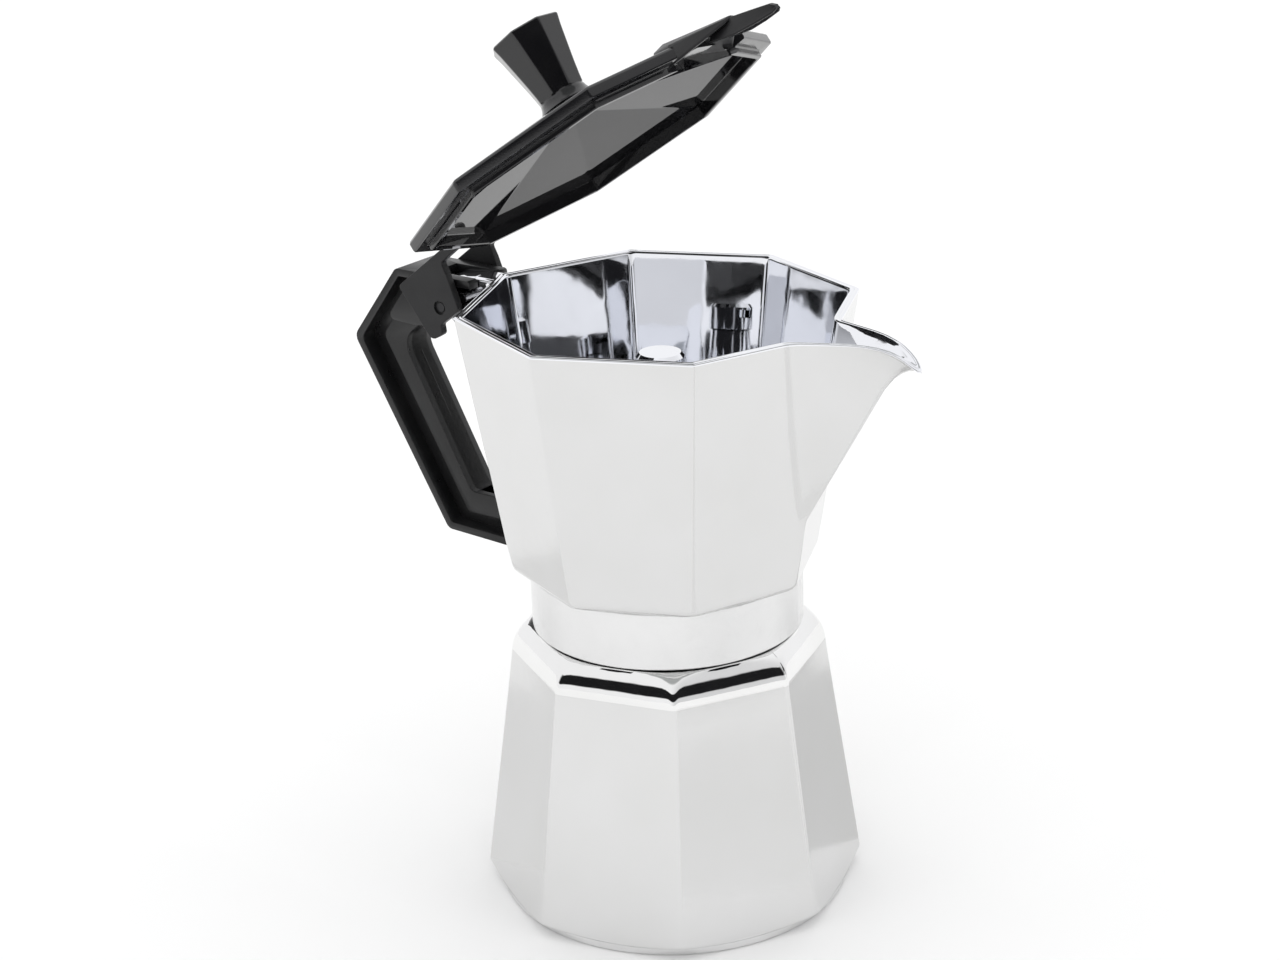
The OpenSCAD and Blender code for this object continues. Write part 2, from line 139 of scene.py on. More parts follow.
def apply_modifiers(obj):
    graph = bpy.context.evaluated_depsgraph_get()
    mesh = bpy.data.meshes.new_from_object(obj.evaluated_get(graph))
    obj.modifiers.clear()
    obj.data = mesh
    return obj


def bevelled(obj, width, segments=2, angle=30):
    """Rounds the object's sharp edges, width in millimetres."""
    mod = obj.modifiers.new("edges", "BEVEL")
    mod.width = width * MM
    mod.segments = segments
    mod.limit_method = "ANGLE"
    mod.angle_limit = math.radians(angle)
    mod.harden_normals = True
    mod.miter_outer = "MITER_ARC"
    return apply_modifiers(obj)


def cut(obj, *cutters):
    """Takes the cutters' volumes out of the object and deletes the cutters."""
    for cutter in cutters:
        mod = obj.modifiers.new("cut", "BOOLEAN")
        mod.operation = "DIFFERENCE"
        mod.solver = "EXACT"
        mod.object = cutter
    apply_modifiers(obj)
    for cutter in cutters:
        bpy.data.objects.remove(cutter)
    return obj


def smooth_by_angle(obj, angle=35):
    """Smooth shading with edges over the angle left sharp."""
    mesh = obj.data
    bm = bmesh.new()
    bm.from_mesh(mesh)
    limit = math.radians(angle)
    for edge in bm.edges:
        edge.smooth = len(edge.link_faces) == 2 and edge.calc_face_angle(0) < limit
    for face in bm.faces:
        face.smooth = True
    bm.to_mesh(mesh)
    bm.free()
    return obj


def weighted(obj):
    """Lets large flat faces keep flat shading beside their rounded edges."""
    mod = obj.modifiers.new("normals", "WEIGHTED_NORMAL")
    mod.mode = "FACE_AREA"
    mod.weight = 60
    mod.keep_sharp = True
    return obj


def opened(obj):
    """Turns a lid piece drawn closed to where the lid stands open at rest."""
    turn = (
        Matrix.Translation(HINGE * MM)
        @ Matrix.Rotation(-LID_OPEN, 4, "Y")
        @ Matrix.Translation(-HINGE * MM)
    )
    obj.data.transform(turn)
    return obj


def rounded_outline(points, steps=5):
    """2-D outline with corner radii: each entry is (x, z, radius)."""
    out = []
    n = len(points)
    for i in range(n):
        b = Vector(points[i][:2])
        a = Vector(points[i - 1][:2])
        c = Vector(points[(i + 1) % n][:2])
        radius = points[i][2]
        if radius == 0:
            out.append(tuple(b))
            continue
        u = (a - b).normalized()
        v = (c - b).normalized()
        half = u.angle(v) / 2
        reach = min(radius / math.tan(half), 0.49 * (a - b).length, 0.49 * (c - b).length)
        middle = b + (u + v).normalized() * (reach / math.cos(half))
        p = b + u * reach - middle
        q = b + v * reach - middle
        turn = p.angle_signed(q)
        for k in range(steps + 1):
            t = -turn * k / steps
            spin = Matrix.Rotation(t, 2)
            out.append(tuple(middle + spin @ p))
    return out


def plate(name, outline, y0, y1):
    """Side-view outline in X and Z, as a solid from y0 to y1."""
    n = len(outline)
    verts = [(x, y0, z) for x, z in outline] + [(x, y1, z) for x, z in outline]
    faces = [tuple(range(n)), tuple(range(2 * n - 1, n - 1, -1))]
    faces += [(i, i + n, (i + 1) % n + n, (i + 1) % n) for i in range(n)]
    return new_object(name, verts, faces, smooth=False)


def rod(name, p, q, radius, sides=40):
    """Solid rod from p to q."""
    p = Vector(p)
    q = Vector(q)
    along = (q - p).normalized()
    side = along.orthogonal().normalized()
    other = along.cross(side)
    rings = []
    for end in (p, q):
        angles = [2 * math.pi * k / sides for k in range(sides)]
        rings.append([end + radius * (math.cos(a) * side + math.sin(a) * other) for a in angles])
    return loft(name, rings, "cap", "cap")


def cross_rod(name, x, z, y0, y1, radius):
    """Solid rod across the pot, through (x, z)."""
    return rod(name, (x, y0, z), (x, y1, z), radius)


def turned(name, profile, sides=96):
    """Solid of revolution about the axis from a closed profile of (r, z)."""
    rings = []
    for r, z in profile:
        rings.append([
            (r * math.cos(2 * math.pi * k / sides), r * math.sin(2 * math.pi * k / sides), z)
            for k in range(sides)
        ])
    return loft(name, rings, ring_loop=True)


# ---------------------------------------------------------------- octagons with rounded corners

CORNER_OFFSETS = (0, 0.4, 0.8, 1.25, 1.8, 2.6, 4, 7, 12, 17)
SEC = 1 / math.cos(math.radians(22.5))


def octagon_angles(turn, extra=()):
    """Angles round an octagon, closest together at its corners, in degrees."""
    angles = set()
    for corner in range(8):
        for offset in CORNER_OFFSETS:
            for sign in (-1, 1):
                angles.add(round((turn + corner * 45 + sign * offset) % 360, 4))
        angles.add(round((turn + corner * 45 + 22.5) % 360, 4))
    angles |= {round(a % 360, 4) for a in extra}
    return np.array(sorted(angles))


def octagon_r(angles, turn, reach, corner):
    """Radius at each angle, for an octagon whose rounded corners stand reach from the axis."""
    delta = np.radians(np.abs((angles - turn + 22.5) % 45 - 22.5))
    apothem = (reach + (SEC - 1) * corner) / SEC
    middle = (apothem - corner) * SEC
    quarter = math.radians(22.5)
    ends = math.atan2(corner * math.sin(quarter), middle + corner * math.cos(quarter))
    inside = np.maximum(corner**2 - (middle * np.sin(delta)) ** 2, 0)
    arc = middle * np.cos(delta) + np.sqrt(inside)
    return np.where(delta < ends, arc, apothem / np.cos(quarter - delta))


def polar_ring(angles, radii, z):
    """Ring of points from angles in degrees and radii, at one height or one for each."""
    rad = np.radians(angles)
    z = np.broadcast_to(np.asarray(z, float), rad.shape)
    return np.stack([radii * np.cos(rad), radii * np.sin(rad), z], 1)


def octagon_ring(angles, turn, reach, corner, z):
    """Level ring of points round a rounded octagon with one corner at turn degrees."""
    return polar_ring(angles, octagon_r(angles, turn, reach, corner), z)


def helix(name, r_root, r_crest, z0, pitch, turns, base, crest):
    """Screw ridge with a softened crest."""
    half = base / 2
    soft = r_root + 0.82 * (r_crest - r_root)
    section = [
        (r_root, -half), (soft, -crest * 0.62), (r_crest, -crest * 0.3),
        (r_crest, crest * 0.3), (soft, crest * 0.62), (r_root, half),
    ]
    rings = []
    steps = int(turns * 60)
    for i in range(steps + 1):
        a = 2 * math.pi * turns * i / steps
        fade = min(1, i / 10, (steps - i) / 10)
        rings.append([
            ((r_root + (r - r_root) * fade) * math.cos(a), (r_root + (r - r_root) * fade) * math.sin(a),
             z0 + pitch * a / (2 * math.pi) + dz)
            for r, dz in section
        ])
    return loft(name, rings, "cap", "cap")


# ---------------------------------------------------------------- materials


class Nodes:
    """Short way to wire a Principled material."""

    def __init__(self, name):
        self.material = bpy.data.materials.new(name)
        self.material.use_nodes = True
        self.tree = self.material.node_tree
        self.shader = self.tree.nodes["Principled BSDF"]
        self.coordinates = self.tree.nodes.new("ShaderNodeTexCoord")

    def add(self, kind, **values):
        node = self.tree.nodes.new(kind)
        for key, value in values.items():
            if hasattr(node, key):
                setattr(node, key, value)
            else:
                node.inputs[key.replace("_", " ")].default_value = value
        return node

    def link(self, a, b):
        self.tree.links.new(a, b)

    def noise(self, scale, detail=4, stretch=(1, 1, 1)):
        mapping = self.add("ShaderNodeMapping")
        mapping.inputs["Scale"].default_value = stretch
        self.link(self.coordinates.outputs["Object"], mapping.inputs["Vector"])
        noise = self.add("ShaderNodeTexNoise", Scale=scale, Detail=detail)
        self.link(mapping.outputs["Vector"], noise.inputs["Vector"])
        return noise.outputs["Fac"]

    def ramp(self, value, low, high, socket, start=0.3, end=0.7):
        """Maps a value onto a socket: numbers or colours from low to high."""
        if isinstance(low, (int, float)):
            node = self.add("ShaderNodeMapRange")
            node.inputs["From Min"].default_value = start
            node.inputs["From Max"].default_value = end
            node.inputs["To Min"].default_value = low
            node.inputs["To Max"].default_value = high
            self.link(value, node.inputs["Value"])
            self.link(node.outputs["Result"], self.shader.inputs[socket])
        else:
            node = self.add("ShaderNodeValToRGB")
            node.color_ramp.elements[0].position = start
            node.color_ramp.elements[1].position = end
            node.color_ramp.elements[0].color = (*low, 1)
            node.color_ramp.elements[1].color = (*high, 1)
            self.link(value, node.inputs["Fac"])
            self.link(node.outputs["Color"], self.shader.inputs[socket])

    def bump(self, heights):
        """Adds bumps: a list of (height, distance in metres, strength)."""
        normal = None
        for height, distance, strength in heights:
            node = self.add("ShaderNodeBump", Distance=distance, Strength=strength)
            self.link(height, node.inputs["Height"])
            if normal:
                self.link(normal, node.inputs["Normal"])
            normal = node.outputs["Normal"]
        self.link(normal, self.shader.inputs["Normal"])


def metal(name, low, high, rough, wave, wave_scale, grain=0.0, grain_stretch=(1, 1, 1)):
    """Polished or satin metal: colour drift, patchy polish, slow waves and fine turning marks."""
    m = Nodes(name)
    m.shader.inputs["Metallic"].default_value = 1.0
    drift = m.noise(35, 5)
    m.ramp(drift, low, high, "Base Color")
    patches = m.noise(240, 6)
    m.ramp(patches, rough[0], rough[1], "Roughness")
    bumps = [(m.noise(wave_scale, 2), 0.001, wave)]
    if grain:
        bumps.append((m.noise(900, 3, grain_stretch), 0.0002, grain))
    m.bump(bumps)
    return m.material


def plastic(name, low, high, rough, grain, coat=0.0, specular=0.5):
    """Moulded plastic: slight tone drift, fine moulded texture and handling marks in the gloss."""
    m = Nodes(name)
    m.ramp(m.noise(60, 4), low, high, "Base Color")
    m.ramp(m.noise(180, 7), rough[0], rough[1], "Roughness")
    m.shader.inputs["Specular IOR Level"].default_value = specular
    m.shader.inputs["Coat Weight"].default_value = coat
    m.shader.inputs["Coat Roughness"].default_value = 0.08
    m.bump([(m.noise(2600, 2), 0.0001, grain), (m.noise(25, 2), 0.0008, 0.06)])
    return m.material


SATIN = metal("satin_aluminium", (0.715, 0.715, 0.71), (0.745, 0.745, 0.745), (0.13, 0.17), 0.02, 18)
SHOULDER = metal("polished_shoulder", (0.83, 0.83, 0.82), (0.88, 0.88, 0.88), (0.03, 0.06), 0.12, 90)
MIRROR = metal("mirror_aluminium", (0.86, 0.87, 0.90), (0.90, 0.91, 0.94), (0.02, 0.05), 0.05, 70)
TURNED = metal("turned_aluminium", (0.74, 0.74, 0.74), (0.82, 0.82, 0.82), (0.18, 0.26), 0.08, 30,
               0.25, (1, 1, 12))
SHEET = metal("pressed_sheet", (0.66, 0.67, 0.68), (0.76, 0.77, 0.78), (0.22, 0.34), 0.15, 40)
BRASS = metal("turned_brass", (0.62, 0.42, 0.16), (0.76, 0.56, 0.26), (0.16, 0.30), 0.12, 90)
STEEL = metal("drawn_steel", (0.48, 0.48, 0.50), (0.60, 0.60, 0.62), (0.18, 0.30), 0.10, 90)
DARK_STEEL = metal("blackened_steel", (0.035, 0.035, 0.037), (0.06, 0.06, 0.062), (0.35, 0.5), 0.1, 90)
HANDLE_BLACK = plastic("handle_plastic", (0.006, 0.006, 0.0065), (0.011, 0.011, 0.0115), (0.26, 0.38),
                       0.30, 0.0, 0.4)
LID_BLACK = plastic("lid_plastic", (0.006, 0.006, 0.007), (0.012, 0.012, 0.013), (0.10, 0.18), 0.10)
UNDERSIDE_BLACK = plastic("lid_underside", (0.010, 0.010, 0.011), (0.013, 0.013, 0.014), (0.02, 0.04), 0.01)
KNOB_BLACK = plastic("knob_plastic", (0.004, 0.004, 0.005), (0.009, 0.009, 0.010), (0.10, 0.20), 0.08, 0.3)
EAR_BLACK = plastic("ear_plastic", (0.009, 0.009, 0.010), (0.015, 0.015, 0.016), (0.36, 0.48),
                    0.30, 0.0, 0.3)
GASKET = plastic("gasket_rubber", (0.70, 0.68, 0.61), (0.80, 0.78, 0.72), (0.45, 0.6), 0.4)
RED_WASHER = plastic("washer_fibre", (0.20, 0.03, 0.02), (0.30, 0.06, 0.04), (0.5, 0.65), 0.5)


def paint(obj, *materials):
    """Gives the object these materials and no others."""
    obj.data.materials.clear()
    for m in materials:
        obj.data.materials.append(m)
    return obj


def paint_all(obj, index):
    """Gives material number index to every face."""
    for polygon in obj.data.polygons:
        polygon.material_index = index


def paint_zone(obj, index, test):
    """Gives material number index to the faces whose centre, in millimetres, passes the test."""
    for polygon in obj.data.polygons:
        x, y, z = polygon.center / MM
        if test(x, y, z):
            polygon.material_index = index


# ---------------------------------------------------------------- boiler

# radius over the octagon's corners 5 mm up, and what it loses per millimetre of height
BOILER_LOW_R = 52.9
BOILER_SLOPE = 0.147
FOOT_R = 49.0
FOOT_H = 2.5
CHAMFER_RISE = 0.478
BOILER_CORNER = 2.2
BOILER_WALL = 3
NECK_R = 33.8
NECK_IN_R = 31.2
# the valve's boss: how far its face stands from the axis, and the height of its middle
BOSS_FACE_X = 43.8
VALVE_Z = 54
THREAD_PITCH = 3
BOILER_METALS = (SATIN, SHOULDER, TURNED)


def boiler_reach(z):
    """Radius over the boiler's corners at a height."""
    return BOILER_LOW_R - BOILER_SLOPE * (z - 5)


def seam(angles, depth=0.34, half_width=0.34):
    """Groove depth at each angle, for the parting line down one corner."""
    off = np.abs((angles - SEAM_ANGLE + 180) % 360 - 180)
    return depth * np.maximum(0, 1 - off / half_width)


def make_boiler_shell():
    """The cast boiler, from the foot's middle over the shoulder and neck down to the floor inside."""
    seam_extra = [SEAM_ANGLE + s * d for d in (0.12, 0.24, 0.34, 0.46) for s in (-1, 1)]
    angles = octagon_angles(BOILER_TURN, seam_extra)
    groove = seam(angles)

    def circle(r, z):
        return polar_ring(angles, np.full(len(angles), float(r)), z)

    def octagon(reach, corner, z, with_seam=1.0):
        return polar_ring(angles, octagon_r(angles, BOILER_TURN, reach, corner) - groove * with_seam, z)

    def radii_at(z):
        """Radius at each angle, for a height at each angle."""
        reach = boiler_reach(z)
        return np.array([
            octagon_r(angles[i:i + 1], BOILER_TURN, reach[i], BOILER_CORNER)[0] for i in range(len(angles))
        ])

    def at_height(z, inset=0.0):
        return polar_ring(angles, radii_at(z) - groove - inset, z)

    # the turned foot cuts the octagon's corners along a rising and falling line, found by repetition
    edge_z = np.full(len(angles), 4.0)
    for _ in range(20):
        flat_r = radii_at(edge_z)
        edge_z = np.maximum(FOOT_H + 0.05, FOOT_H + (flat_r - FOOT_R) * CHAMFER_RISE)
    flat_r = flat_r - groove

    foot = [(12, 0.9), (38, 0.9), (44.6, 0.9), (45.4, 0.2), (46.0, 0), (48.2, 0), (48.75, 0.22),
            (FOOT_R, 0.7), (FOOT_R, FOOT_H - 0.4), (FOOT_R, FOOT_H)]
    rings = [circle(r, z) for r, z in foot]
    start = rings[-1]
    rim = polar_ring(angles, flat_r, edge_z)
    rings.append(start + (rim - start) * 0.5)
    rings.append(start + (rim - start) * 0.93)
    rings.append(at_height(edge_z + 0.06, 0.10))
    rings.append(at_height(edge_z + 0.45))
    for share in (0.1, 0.3, 0.65, 1.0):
        rings.append(at_height(edge_z + 0.5 + (16 - edge_z) * share))
    for z in (28, 42, 56, 64, 68):
        rings.append(octagon(boiler_reach(z), BOILER_CORNER, z))
    shoulder = [
        (43.42, 2.4, 70.2), (43.28, 2.5, 71.2), (43.02, 2.7, 72.3), (42.62, 3.1, 73.5), (42.05, 3.7, 74.7),
        (41.3, 5.0, 75.8), (40.4, 7.5, 76.8), (39.4, 12, 77.6), (38.4, 20, 78.2), (37.3, 33, 78.55),
    ]
    for reach, corner, z in shoulder:
        rings.append(octagon(reach, corner, z, 1.0 if z < 77 else 0.4))
    inner_r = boiler_reach(66) / SEC - BOILER_WALL
    inner_low_r = boiler_reach(8) / SEC - BOILER_WALL
    neck = [(36, 78.68), (34.4, 78.7), (NECK_R, 79.1), (NECK_R, 91.7), (33.3, NECK_Z - 0.2),
            (33.0, NECK_Z), (31.8, NECK_Z), (NECK_IN_R, NECK_Z - 0.5)]
    inside = [(NECK_IN_R, 77), (inner_r, 67), (inner_low_r, 9), (44.2, 5), (40.5, 3.6), (20, 3.6)]
    rings += [circle(r, z) for r, z in neck + inside]
    shell = loft("boiler_shell", rings, "fan", "fan")
    paint(shell, *BOILER_METALS)
    paint_zone(shell, 1, lambda x, y, z: 70.0 < z < 79 and math.hypot(x, y) > 34.5)
    paint_zone(shell, 2, lambda x, y, z: z < 3 or math.hypot(x, y) < 34.4 and z > 77)
    return weighted(shell)


def make_neck_thread():
    thread = helix("neck_thread", NECK_R - 0.3, 34.9, 81.5, THREAD_PITCH, 3, 1.3, 0.6)
    paint(thread, *BOILER_METALS)
    paint_all(thread, 2)
    return thread


def make_valve_boss():
    """Turned boss on one flat of the boiler, round the safety valve."""
    boss = [(7.9, -2.2), (7.7, -1.2), (7.5, -0.35), (7.1, 0), (4.5, 0), (4.45, -0.3), (4.45, -2.2)]
    seat = turned("valve_boss", boss, 64)
    seat.data.transform(
        Matrix.Rotation(math.radians(VALVE_TURN), 4, "Z")
        @ Matrix.Translation(Vector((BOSS_FACE_X, 0, VALVE_Z)) * MM)
        @ Matrix.Rotation(math.radians(90), 4, "Y")
    )
    return paint(seat, *BOILER_METALS)


def make_boiler():
    piece = join("boiler_body", [make_boiler_shell(), make_neck_thread(), make_valve_boss()])
    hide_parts("boiler")
    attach(piece, "boiler")


make_boiler()

# ---------------------------------------------------------------- collector

# the wall leans out evenly from WALL_LOW_Z up to the rim
WALL_LOW_R = 43.0
WALL_LOW_Z = 100.5
WALL_SLOPE = (RIM_R - WALL_LOW_R) / (RIM_Z - WALL_LOW_Z)
SKIRT_R = 37.35
BORE_R = 35.35
WALL = 2.5
SPOUT_FOOT_HALF = 2.4
LUG_HALF = 4.35
# rings with a turned finish: the skirt's first ones, and the last ones from the column's hole to the bore
SKIRT_RINGS = 5
BORE_RINGS = 16
TAN = math.tan(math.radians(22.5))
COLLECTOR_METALS = (SATIN, MIRROR, TURNED)


def wall_reach(z, thick=0.0):
    """Radius over the collector's corners at a height, less a wall thickness."""
    return WALL_LOW_R + (z - WALL_LOW_Z) * WALL_SLOPE - thick


class Spout:
    """One face of the V-shaped spout, outside or inside, as columns of points on each ring."""

    def __init__(self, thick, foot, knee, tip, junction_half, lip_inset):
        self.thick = thick
        self.foot = foot
        self.knee = knee
        self.tip = tip
        self.junction_half = junction_half
        self.lip_inset = lip_inset

    def ridge(self, v):
        """Lowest line of the V, from its foot on the corner out to the beak's tip."""
        x = self.foot[0] + (self.tip[0] - self.foot[0]) * v
        if x < self.knee[0]:
            share = (x - self.foot[0]) / (self.knee[0] - self.foot[0])
            return Vector((x, 0, self.foot[1] + share * (self.knee[1] - self.foot[1])))
        left = (self.tip[0] - x) / (self.tip[0] - self.knee[0])
        return Vector((x, 0, self.knee[1] + (self.tip[1] - self.knee[1]) * (1 - left**2.3)))

    def lip(self, s):
        """Upper edge, from the rim out to the tip."""
        start = wall_reach(RIM_Z, self.thick) - self.junction_half * TAN
        x = start + (self.tip[0] - start) * s
        t = max(0.0, (x - 50) / (SPOUT_TIP - 50))
        half = 11.3 * (1 - 0.86 * t) - self.lip_inset
        half = half + (self.junction_half - half) * max(0.0, 1 - s / 0.12) ** 2
        nose = 0.93
        if s > nose:
            half *= math.sqrt(max(0.0, 1 - ((s - nose) / (1 - nose)) ** 2))
        return Vector((x, max(half, 0.0), RIM_Z + 1.3 * t - 7.0 * t**5))


OUTER_SPOUT = Spout(0.0, (45.45, 115.6), (68.0, 153.0), (SPOUT_TIP, 162.2), 12.0, 0.0)
INNER_SPOUT = Spout(WALL, (43.6, 119.5), (66.4, 156.0), (SPOUT_TIP - 1.5, 163.4), 10.6, 1.5)

# the spout's faces, from the wall to the ridge, then the rounding where they leave the wall
SIDE_STEPS = (0.1, 0.2, 0.32, 0.44, 0.56, 0.68, 0.78, 0.86, 0.92, 0.96, 0.985, 1.0)
JUNCTION_STEPS = 6

# the wall's angles away from the spout
WALL_ANGLES = np.array([a for a in octagon_angles(0) if 22.5 <= a <= 337.5])


def bezier(a, b, c, t):
    """Point at share t of the curve from a to c that b pulls towards itself."""
    return a * (1 - t) ** 2 + b * 2 * t * (1 - t) + c * t * t


def collector_ring(z, reach, corner, spout=None, v=0.0):
    """One ring of the collector: the octagon's far side, then the spout's two faces."""

    def wall(y):
        x = reach - abs(y) * TAN
        angle = math.degrees(math.atan2(abs(y), x))
        r = octagon_r(np.array([angle]), 0, reach, corner)[0]
        rad = math.radians(angle)
        return Vector((r * math.cos(rad), r * math.sin(rad), z))

    inside_spout = spout is not None and v > 0
    half = SPOUT_FOOT_HALF
    if inside_spout:
        half += (spout.junction_half - SPOUT_FOOT_HALF) * v
    blend = (0.5 + 2.4 * min(1.0, v * 3)) if inside_spout else 0.4
    blend = min(blend, 0.4 * half)
    mid_y = reach / SEC * math.sin(math.radians(22.5))
    start = half + blend
    side = [wall(mid_y + (start - mid_y) * t) for t in (0.3, 0.6, 0.85, 1.0)]

    def face(s):
        if not inside_spout:
            return wall(half * (1 - s))
        junction = wall(half)
        ridge = spout.ridge(v)
        chord = spout.lip(0).lerp(spout.ridge(1), s)
        swell = (spout.lip(s) - chord) * v**2
        round_off = 0.06
        point = junction.lerp(ridge, s)
        if s > 1 - round_off and v < 1:
            near = junction.lerp(ridge, 1 - round_off)
            opposite = Vector((near.x, -near.y, near.z))
            point = bezier(near, ridge, opposite, (s - 1 + round_off) / round_off / 2)
        return point + swell

    if inside_spout:
        length = max((wall(half) - spout.ridge(v)).length, 1e-6)
        first = min(blend / length, 0.35)
    else:
        first = min(blend / half, 0.35)
    corner_point = wall(half)
    arc_end = face(first)
    arc_start = side[-1]
    shares = [k / JUNCTION_STEPS for k in range(1, JUNCTION_STEPS + 1)]
    side += [bezier(arc_start, corner_point, arc_end, share) for share in shares]
    side += [face(first + (1 - first) * s) for s in SIDE_STEPS]
    radii = octagon_r(WALL_ANGLES, 0, reach, corner)
    far = [Vector(p) for p in polar_ring(WALL_ANGLES, radii, z)]
    mirrored = [Vector((p.x, -p.y, p.z)) for p in side[:-1]]
    return far + mirrored + side[::-1]


def collector_circle(r, z):
    """Round ring with as many points as every other ring of the collector."""
    return collector_ring(z, r, r)


def spout_rings(spout, heights, corner):
    """Rings of a wall with a spout, from the spout's foot up to the rim."""
    foot_z = spout.foot[1]
    rings = []
    for z in heights:
        v = max(0.0, (z - foot_z) / (RIM_Z - foot_z))
        rings.append(collector_ring(z, wall_reach(z, spout.thick), corner, spout, v))
    return rings


def mix(a, b, t, lift=0.0):
    """Ring at share t of the way from one ring to the other, raised by lift."""
    return [p.lerp(q, t) + Vector((0, 0, lift)) for p, q in zip(a, b)]


def make_lug():
    """Lug that the lid's hinge pin goes through, between the handle's fork and the wall."""
    outline = rounded_outline([
        (-51.7, RIM_Z - 0.9, 0), (-60, RIM_Z - 0.9, 3), (-72.4, 165.6, 3.5), (-73.2, 157, 4.5),
        (-66, 150.6, 4.5), (-47.4, 140.6, 0),
    ], 8)
    lug = bevelled(plate("hinge_lug", outline, -LUG_HALF, LUG_HALF), 1.3, 4)
    smooth_by_angle(lug, 40)
    paint(lug, *COLLECTOR_METALS)
    paint_all(lug, 1)
    return lug


def make_skirt_thread():
    thread = helix("skirt_thread", BORE_R + 0.3, 34.2, 80.0, THREAD_PITCH, 3.4, 1.3, 0.6)
    paint(thread, *COLLECTOR_METALS)
    paint_all(thread, 2)
    return thread


def make_collector_body():
    """The cast collector as one loop of rings: up the outside, over the rim, down the inside to the bore."""
    skirt = [(SKIRT_R - 0.4, SKIRT_Z), (SKIRT_R - 0.08, SKIRT_Z + 0.12), (SKIRT_R, SKIRT_Z + 0.4),
             (SKIRT_R, 86), (SKIRT_R, 94.2), (SKIRT_R + 0.02, 94.7), (SKIRT_R + 0.3, 95.0)]
    base = [collector_circle(r, z) for r, z in skirt]
    belly = [
        (39.2, 20, 95.15), (40.4, 9, 95.4), (41.2, 5, 95.75), (41.75, 3.6, 96.25), (42.1, 3.0, 96.9),
        (42.35, 2.7, 97.8), (42.6, 2.4, 99), (42.85, 2.2, 100.5),
    ]
    base += [collector_ring(z, reach, corner) for reach, corner, z in belly]
    outside_z = (104, 109, 113.5, 115.6, 116.6, 118.2, 121, 125, 130, 136, 142, 148, 153, 157.5, 161, 164,
                 166.2, 167.6)
    outside = spout_rings(OUTER_SPOUT, outside_z, 1.5)
    lip_out = collector_ring(RIM_Z, wall_reach(RIM_Z), 1.5, OUTER_SPOUT, 1.0)
    lip_in = collector_ring(RIM_Z, wall_reach(RIM_Z, WALL), 1.5, INNER_SPOUT, 1.0)
    rim_steps = [(0.0, -0.35), (0.07, -0.06), (0.2, 0.0), (0.4, 0.0), (0.46, -0.28), (0.54, -0.28),
                 (0.6, 0.0), (0.8, 0.0), (0.95, -0.08), (1.0, -0.4)]
    rim = [mix(lip_out, lip_in, share, lift) for share, lift in rim_steps]
    inside_z = (167.4, 166, 164, 161, 157.5, 153, 148, 142, 136, 130, 126, 123, 121, 120, 119.5, 117,
                112, 106, 103.2)
    inside = spout_rings(INNER_SPOUT, inside_z, 2.2)
    inner = [(40.9, 3.0, 101.8), (40.3, 4.0, 100.8), (39.2, 6.5, 100.1), (37.4, 12, 99.8), (34.5, 24, 99.9)]
    floor = [collector_ring(z, reach, corner) for reach, corner, z in inner]
    turned_part = [
        (31, 100.3), (24, 101.9), (16, 103.9), (11.5, 105.0), (10.4, 105.6), (9.7, 106.5), (9.0, 106.9),
        (8.4, 107), (7.05, 107), (7.05, 102.5), (9, 102.0), (28.4, 97.3), (28.6, 97.2), (31.2, 97.2),
        (31.4, 97.0), (31.4, SEAT_Z + 0.2), (31.6, SEAT_Z), (BORE_R, SEAT_Z), (BORE_R, 94), (BORE_R, 84),
        (BORE_R, 80), (35.8, SKIRT_Z),
    ]
    floor += [collector_circle(r, z) for r, z in turned_part]
    rings = base + outside + rim + inside + floor
    body = loft("collector_body", rings, ring_loop=True)
    paint(body, *COLLECTOR_METALS)
    # mirror finish inside the pot, turned finish on the skirt and from the column's hole down
    n = len(rings[0])
    rim_first = len(base) + len(outside) - 1
    bore_first = len(rings) - BORE_RINGS
    for i, polygon in enumerate(body.data.polygons):
        ring = i // n
        if rim_first <= ring < bore_first:
            polygon.material_index = 1
        elif ring < SKIRT_RINGS or ring >= bore_first:
            polygon.material_index = 2
    return weighted(body)


def make_collector():
    piece = join("collector_shell", [make_collector_body(), make_lug(), make_skirt_thread()])
    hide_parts("collector")
    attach(piece, "collector")


make_collector()

# ---------------------------------------------------------------- handle

GRIP_HALF = 5.2
ARM_X = -58.4
ARM_TOP = 167.3
RIB = 2.1
WEB_HALF = 3.2
SLOT_HALF = 4.6
PIN_HOLE_R = 1.32
RIVET_HOLE_R = 1.52


def pot_x(z):
    """Where the wall stands at a height on the handle's side."""
    return -wall_reach(z)


